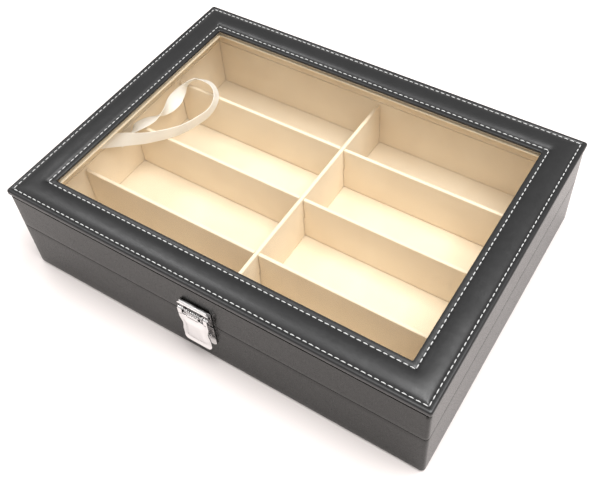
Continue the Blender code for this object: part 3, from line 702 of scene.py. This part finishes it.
def base_skin():
    """Leather from under the bottom, up the walls, and in over the rim."""
    low, high = base_low.z, base_high.z
    foot, rim, inner = FOOT_RADIUS, RIM_RADIUS, RIM_TURN_IN
    points = [(FOOT_TURN_IN, low)]
    points += rolled((foot, low + foot), foot, -90)
    points += wall_points(low + foot, high - rim, 9)[1:-1]
    points += rolled((rim, high - rim), rim, 0)
    points += [(inner - 0.3 * MM, high), (inner, high - 0.3 * MM), (inner, high - LEATHER)]
    points += [(LEATHER + 0.5 * MM, high - LEATHER), (LEATHER, high - LEATHER - 0.5 * MM)]
    points += [(LEATHER, low + LEATHER), (FOOT_TURN_IN, low + LEATHER)]
    return wall_ring("base_leather_skin", points, "base_leather_wrap", "base")


def lid_skin():
    """Leather from behind the lid's lining, round the lower edge and up to a groove at the top."""
    low, high = wrap_low.z, wrap_high.z
    rim, (inside, behind) = RIM_RADIUS, LID_TURN_IN
    tucked, groove = low + LID_TURN_UP, high - LID_GROOVE
    points = [(behind, tucked), (behind, low + 0.4 * MM), (behind - 0.4 * MM, low)]
    points += rolled((rim, low + rim), rim, -90)
    points += wall_points(low + rim, groove, 8)[1:]
    points += [(0.12 * MM, groove + 0.1 * MM), (0.9 * MM, groove + 0.12 * MM), (0.9 * MM, high)]
    points += [(0.99 * MM, high), (0.98 * MM, groove), (LEATHER, high - 1.5 * LID_GROOVE)]
    points += [(LEATHER, low + LEATHER + 0.5 * MM), (LEATHER + 0.5 * MM, low + LEATHER)]
    points += [(inside, low + LEATHER), (inside, tucked)]
    return wall_ring("lid_leather_skin", points, "lid_leather_wrap", "lid")


# ---------------------------------------------------------------- ribbon


def catmull_rom(a, b, c, d, t):
    """The smooth curve through b and c, at t from 0 to 1 between them."""
    square = (2 * a - 5 * b + 4 * c - d) * t**2
    cube = (3 * b - a - 3 * c + d) * t**3
    return (2 * b + (c - a) * t + square + cube) / 2


def ribbon_stations():
    """(middle, direction across the band, direction out of its face, length so far)."""
    knots = [(Vector(row[:3]) * MM + Vector((0, CENTRE_Y, 0)), row[3]) for row in RIBBON_ROUTE_MM]
    padded = [knots[0]] + knots + [knots[-1]]
    middles = []
    for i in range(len(knots) - 1):
        a, b, c, d = padded[i : i + 4]
        for step in range(RIBBON_STEPS):
            t = step / RIBBON_STEPS
            place = catmull_rom(a[0], b[0], c[0], d[0], t)
            middles.append((place, catmull_rom(a[1], b[1], c[1], d[1], t)))
    middles.append(knots[-1])
    stations, length = [], 0.0
    for i, (place, roll) in enumerate(middles):
        ahead = middles[min(i + 1, len(middles) - 1)][0]
        behind = middles[max(i - 1, 0)][0]
        along = (ahead - behind).normalized()
        level = along.cross(Vector((0, 0, 1))).normalized()
        up = level.cross(along)
        angle = math.radians(roll)
        across = level * math.cos(angle) + up * math.sin(angle)
        if i:
            length += (place - middles[i - 1][0]).length
        stations.append((place, across, along.cross(across), length))
    return stations


def ribbon_half(name, stations):
    """A stretch of ribbon as a thin closed band, its edges slightly thicker than its middle."""
    columns = RIBBON_COLUMNS
    vertices, coordinates = [], []
    for place, across, face, length in stations:
        for side in (1, -1):
            for column in range(columns + 1):
                share = (2 * column / columns - 1) * side
                thick = RIBBON_THICKNESS * (0.75 + 0.25 * abs(share) ** 6)
                cup = RIBBON_CUP * share**2
                offset = across * share * RIBBON_WIDTH / 2 + face * (side * thick / 2 + cup)
                vertices.append(place + offset)
                coordinates.append((length / RIBBON_WIDTH, (share + 1) / 2))
    piece = mesh_piece(name, vertices, tube_faces(len(stations), 2 * (columns + 1)), satin, 60)
    give_uvs(piece, "weave", coordinates)
    length = stations[-1][3] - stations[0][3]
    return piece


def ribbon():
    """The lid stay, in two halves that meet at the crest of its loop."""
    stations = ribbon_stations()
    split = RIBBON_CREST * RIBBON_STEPS
    lower = ribbon_half("lid_stay_ribbon_base_half", stations[: split + 1])
    upper = ribbon_half("lid_stay_ribbon_lid_half", stations[split:])
    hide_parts("lid_stay_ribbon")
    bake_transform(lower)
    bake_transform(upper)


# ---------------------------------------------------------------- the other pieces


def linings_and_dividers():
    """The velvet-covered cards and dividers, with soft edges."""
    for body in ("base", "lid"):
        for side in ("front", "back", "left", "right"):
            node = f"{body}_{side}_lining"
            dress(refined(node, 0.42 * MM, velvet), body)
    dress(refined("base_floor_lining", 0.3 * MM, velvet), "base")
    dress(refined("window_retainer", 0.5 * MM, velvet), "lid")
    dress(refined("centre_divider", 0.9 * MM, velvet, 4), "base")
    for name in ("front", "middle", "back"):
        dress(refined(f"cross_divider_{name}", 0.9 * MM, velvet, 4), "base")


def add_box(bm, xs, ys, zs):
    """A box between two places along each axis."""
    corners = [bm.verts.new((x, y, z)) for x in xs for y in ys for z in zs]
    ends = (0, 1, 3, 2), (4, 6, 7, 5)
    sides = (0, 4, 5, 1), (2, 3, 7, 6), (0, 2, 6, 4), (1, 5, 7, 3)
    for face in ends + sides:
        bm.faces.new([corners[i] for i in face])


def add_shell(bm, outer, inner):
    """A closed shell between two grids of points of the same size."""
    grids = [[[bm.verts.new(p) for p in row] for row in grid] for grid in (outer, inner)]
    rows, columns = len(outer) - 1, len(outer[0]) - 1
    for grid in grids:
        for a, b in zip(grid, grid[1:]):
            for i in range(columns):
                bm.faces.new((a[i], a[i + 1], b[i + 1], b[i]))
    border = [(0, i) for i in range(columns)] + [(j, columns) for j in range(rows)]
    border += [(rows, i) for i in range(columns, 0, -1)] + [(j, 0) for j in range(rows, 0, -1)]
    front, back = grids
    for (j, i), (n, m) in zip(border, border[1:] + border[:1]):
        bm.faces.new((front[j][i], front[n][m], back[n][m], back[j][i]))


def add_knuckle(bm, xs, sides=32):
    """A round bar about the latch pin, between two places along X."""
    points = []
    for x in xs:
        for side in range(sides):
            angle = 2 * math.pi * side / sides
            y = PIN_Y + KNUCKLE_RADIUS * math.cos(angle)
            points.append(bm.verts.new((x, y, PIN_Z + KNUCKLE_RADIUS * math.sin(angle))))
    for face in tube_faces(2, sides):
        bm.faces.new([points[i] for i in face])


def eased(value, start, end):
    """0 before the start, 1 after the end, and a smooth step between them."""
    share = min(max((value - start) / (end - start), 0), 1)
    return share * share * (3 - 2 * share)


def shield_half_width(z):
    """The flap's outline: shoulders at the knuckles, a waist, and a round-cornered lower end."""
    corner = FLAP_CORNER
    rise = z - FLAP_LOW
    width = FLAP_HALF_WIDTH
    if rise < corner:
        width -= corner - math.sqrt(max(corner**2 - (corner - rise) ** 2, 0))
    width -= 1.1 * MM * eased(z, 31 * MM, 38 * MM)
    width += 1.7 * MM * eased(z, 39 * MM, 47 * MM)
    return width - 1.4 * MM * eased(z, 48 * MM, FLAP_SHOULDER) ** 3


def shield_reach(share, z):
    """How far the flap's face stands out: a raised panel, and a lip at the lower end to pull."""
    across = 1 - eased(abs(share), 0.54, 0.76)
    upwards = eased(z, 24 * MM, 29 * MM) * (1 - eased(z, 43 * MM, 49 * MM))
    lip = LIP_RISE * (1 - eased(z, FLAP_LOW, 26 * MM))
    return FLAP_FACE + PANEL_RISE * across * upwards + lip


def latch_flap():
    """The shield, the arms up to its two knuckles, the tongue over the spring, and the hook."""
    bm = bmesh.new()
    rows, columns = 44, 30
    grids = []
    for thickness in (0, FLAP_SHEET):
        grid = []
        for row in range(rows + 1):
            share = row / rows
            crowded = share**1.6 * 0.35 + share * 0.65
            z = FLAP_START + (FLAP_SHOULDER - FLAP_START) * crowded
            half = shield_half_width(z)
            line = []
            for column in range(columns + 1):
                side = 2 * column / columns - 1
                y = WALL_FRONT - shield_reach(side, z) + thickness
                line.append(Vector((LATCH_X + side * half, y, z)))
            grid.append(line)
        grids.append(grid)
    add_shell(bm, *grids)
    face, root = WALL_FRONT - FLAP_FACE, FLAP_SHOULDER - 1 * MM
    sheet = (face, face + FLAP_SHEET)
    inner, outer = KNUCKLE_X
    for xs in ((LATCH_X - outer, LATCH_X - inner), (LATCH_X + inner, LATCH_X + outer)):
        add_box(bm, xs, sheet, (root, PIN_Z))
        add_knuckle(bm, xs)
    tongue = (LATCH_X - TONGUE_HALF_WIDTH, LATCH_X + TONGUE_HALF_WIDTH)
    add_box(bm, tongue, sheet, (root, FLAP_SHOULDER + TONGUE_RISE))
    hook = (LATCH_X - HOOK_HALF_WIDTH, LATCH_X + HOOK_HALF_WIDTH)
    add_box(bm, hook, (face, WALL_FRONT - HOOK_REACH), HOOK_Z)
    piece = finished(bm, "latch_flap_finish", 0.16 * MM, latch_chrome)
    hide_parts("latch_flap")
    return piece


def latch_spring():
    """A coil of round wire on the pin, with a leg behind and a leg down the flap."""
    curve = bpy.data.curves.new("latch_spring_finish", "CURVE")
    curve.dimensions = "3D"
    curve.bevel_depth = SPRING_WIRE
    curve.bevel_resolution = 4
    curve.use_fill_caps = True
    half, radius = SPRING_HALF_LENGTH, SPRING_RADIUS
    points = [(-half, 1.6 * MM, 50.8 * MM)]
    steps = round(SPRING_TURNS * SPRING_STEPS)
    for step in range(steps + 1):
        angle = math.pi - 2 * math.pi * step / SPRING_STEPS
        x = half * (2 * step / steps - 1)
        points.append((x, PIN_REACH + radius * math.cos(angle), PIN_Z + radius * math.sin(angle)))
    points += [(half, 3.2 * MM, 52.6 * MM), (half, 3.5 * MM, 49 * MM)]
    spline = curve.splines.new("POLY")
    spline.points.add(len(points) - 1)
    for point, (x, reach, z) in zip(spline.points, points):
        point.co = (LATCH_X + x, WALL_FRONT - reach, z, 1)
    source = linked("latch_spring_wire", curve)
    mesh = evaluated_mesh(source)
    bpy.data.objects.remove(source)
    mesh.shade_smooth()
    mesh.materials.append(latch_chrome)
    piece = linked("latch_spring_finish", mesh)
    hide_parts("latch_spring")
    return piece


def metalwork():
    """Hinges, latch and nails. The curl of the lid plate is duller than the rest of the plate, and
    has a lighter tone as a painted highlight; the rest of the plate has a darker tone as painted
    shade.
    """
    slot, nail_edge = "chromed_steel", 0.06 * MM
    for side in ("left", "right"):
        for body in ("base", "lid"):
            leaf = refined(f"{side}_hinge_{body}_leaf", 0.14 * MM, hinge_chrome)
            dress(leaf, body)
            for which in ("left", "right"):
                node = f"{side}_hinge_{body}_{which}_nail"
                dress(refined(node, nail_edge, hinge_chrome, 2), body)
        dress(refined(f"{side}_hinge_pin", 0.08 * MM, hinge_chrome, 2), "base")
    for which in ("left", "right"):
        for plate, body in (("strike", "base"), ("plate", "lid")):
            nail = refined(f"latch_{plate}_{which}_nail", nail_edge, latch_chrome, 2)
            dress(nail, body)
    # The strike plate and the lid plate get the darker chrome, which is painted shade.
    dress(refined("latch_strike_plate", 0.2 * MM, plate_chrome_painted_shade), "base")
    plate = dress(refined("latch_lid_plate", 0.2 * MM, plate_chrome_painted_shade), "lid")
    plate.data.materials.append(curl_chrome_painted_light)
    # faces of the curl get the chrome with the painted highlight
    for face in plate.data.polygons:
        if face.center.z > CURL_LOW:
            face.material_index = 1
    dress(refined("latch_pin", 0.1 * MM, latch_chrome, 2), "lid")
    dress(latch_spring(), "lid")
    dress(latch_flap(), "latch_flap")


def hidden_and_flat():
    """The boards, the felt and the pane."""
    for body in ("base", "lid"):
        for side in ("front", "back", "left", "right"):
            dress(refined(f"{body}_{side}_board", 0.2 * MM, fibreboard, 2), body)
    dress(refined("base_floor_board", 0.2 * MM, fibreboard, 2), "base")
    dress(refined("lid_window_board", 0.2 * MM, fibreboard, 2), "lid")
    dress(refined("base_bottom_felt", 0.35 * MM, felt), "base")
    dress(refined("window_pane", 0.25 * MM, pane_glass), "lid")


# ---------------------------------------------------------------- stage


def camera():
    """The camera at the photograph's viewing angle."""
    data = bpy.data.cameras.new("camera")
    data.lens = CAMERA_LENS
    data.sensor_width = 36
    data.shift_x, data.shift_y = CAMERA_SHIFT
    data.clip_start = 0.01
    place = linked("camera", data)
    place.location = CAMERA_PLACE
    place.rotation_euler = [math.radians(a) for a in CAMERA_TURN]
    bpy.context.scene.camera = place


def softbox(name, place, size, power):
    """A rectangular lamp aimed at the case."""
    data = bpy.data.lights.new(name, "AREA")
    data.shape = "RECTANGLE"
    data.size, data.size_y = size
    data.energy = power
    light = linked(name, data)
    light.location = place
    light.rotation_euler = (Vector(LIGHT_AIM) - Vector(place)).to_track_quat("-Z", "Y").to_euler()


def room():
    """A pale room: dimmer low down, and on the side that the pane and the frame mirror."""
    world = bpy.data.worlds.new("studio")
    bpy.context.scene.world = world
    world.use_nodes = True
    tree = world.node_tree
    background = tree.nodes["Background"]
    background.inputs["Color"].default_value = ROOM_COLOUR
    direction = tree.nodes.new("ShaderNodeTexCoord").outputs["Generated"]
    towards = tree.nodes.new("ShaderNodeVectorMath")
    towards.operation = "DOT_PRODUCT"
    towards.inputs[1].default_value = DIM_WALL_DIRECTION
    tree.links.new(direction, towards.inputs[0])
    height = tree.nodes.new("ShaderNodeSeparateXYZ")
    tree.links.new(direction, height.inputs[0])
    both = tree.nodes.new("ShaderNodeMath")
    both.operation = "MULTIPLY"
    sources = ((towards.outputs["Value"], DIM_WALL_RANGE), (height.outputs["Z"], DOME_RANGE))
    for factor, (source, values) in zip(both.inputs, sources):
        step = tree.nodes.new("ShaderNodeMapRange")
        step.interpolation_type = "SMOOTHSTEP"
        for socket, value in zip(("From Min", "From Max", "To Min", "To Max"), values):
            step.inputs[socket].default_value = value
        tree.links.new(source, step.inputs["Value"])
        tree.links.new(step.outputs["Result"], factor)
    tree.links.new(both.outputs["Value"], background.inputs["Strength"])


def stage():
    """A plain pale floor in soft studio light."""
    corners = [(x * FLOOR_HALF, y * FLOOR_HALF, 0) for x, y in ((-1, -1), (1, -1), (1, 1), (-1, 1))]
    paper = Look("floor_paper", (0.86, 0.8, 0.78), 0.9)
    mesh_piece("floor", corners, [(0, 1, 2, 3)], paper.material)
    room()
    for name, place, size, power in SOFTBOXES:
        softbox(name, place, size, power)
    bpy.context.scene.view_settings.view_transform = "Standard"


camera()
ribbon()
padded_frame()
stitches()
base_skin()
lid_skin()
linings_and_dividers()
metalwork()
hidden_and_flat()
stage()

bpy.context.view_layer.update()
